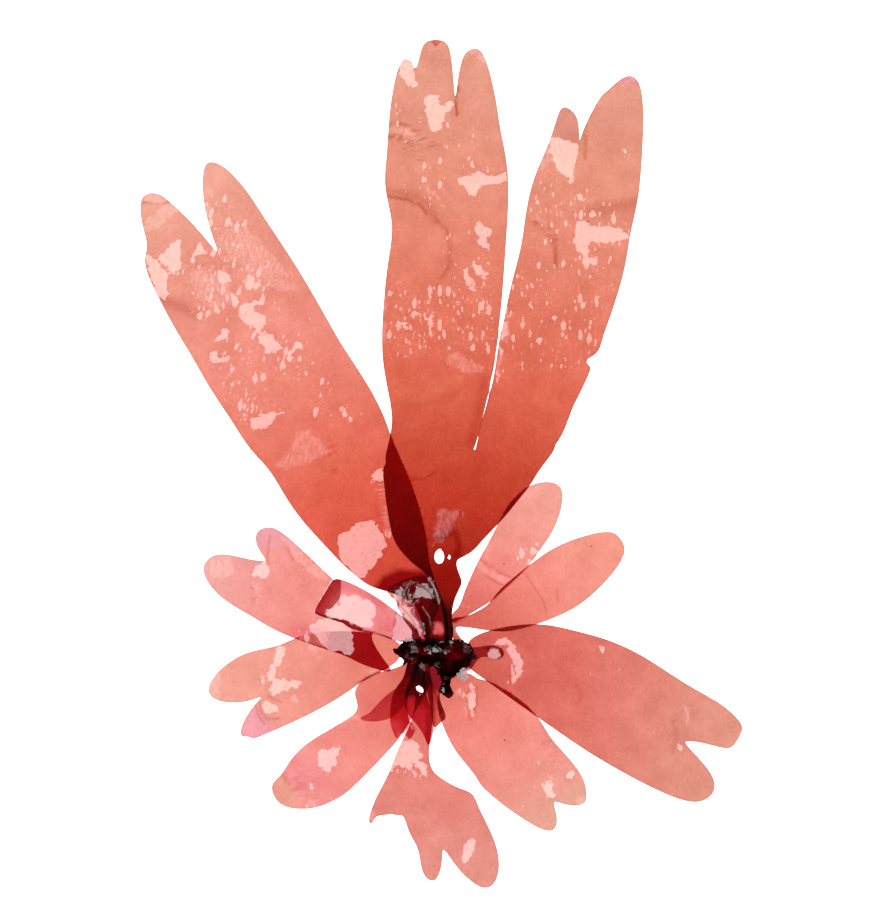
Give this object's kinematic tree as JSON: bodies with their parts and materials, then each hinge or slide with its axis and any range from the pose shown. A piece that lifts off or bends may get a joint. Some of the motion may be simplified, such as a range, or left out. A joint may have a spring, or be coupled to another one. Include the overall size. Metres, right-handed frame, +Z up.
{
  "type": "dulse seaweed",
  "caption": "Red seaweed plant laid out flat: thin translucent strap-like fronds with forked tips, spreading from one small dark holdfast.",
  "frame": {"origin": "middle of the plant's box, on the surface that the plant lies on", "axes": "+Y along the tall fronds, away from the holdfast; +X to the right seen from above; +Z up"},
  "size_m": [0.2114, 0.2974, 0.0069],
  "materials": {
    "tall_blade": "wet translucent film",
    "short_blade": "wet translucent film",
    "dark_leaflet": "wet translucent film, dark where it overlaps",
    "holdfast": "wet gloss, nearly black"
  },
  "bodies": {
    "root": {"holdfast": "holdfast", "stub": "holdfast", "tall_left_frond": "tall_blade", "forked_frond_base": "tall_blade", "forked_frond_middle_lobe": "tall_blade", "forked_frond_right_lobe": "tall_blade", "upper_right_inner_frond": "short_blade", "upper_right_outer_frond": "short_blade", "right_frond": "short_blade", "lower_right_frond": "short_blade", "bottom_frond": "short_blade", "lower_left_frond": "short_blade", "left_lower_frond": "short_blade", "left_upper_frond": "short_blade", "folded_left_frond": "short_blade", "crumpled_leaflet": "dark_leaflet", "wing_leaflet": "dark_leaflet", "broad_leaflet": "dark_leaflet", "pointed_leaflet": "dark_leaflet", "narrow_leaflet": "dark_leaflet", "stalked_leaflet": "dark_leaflet", "glossy_leaflet": "dark_leaflet"}
  },
  "joints": []
}
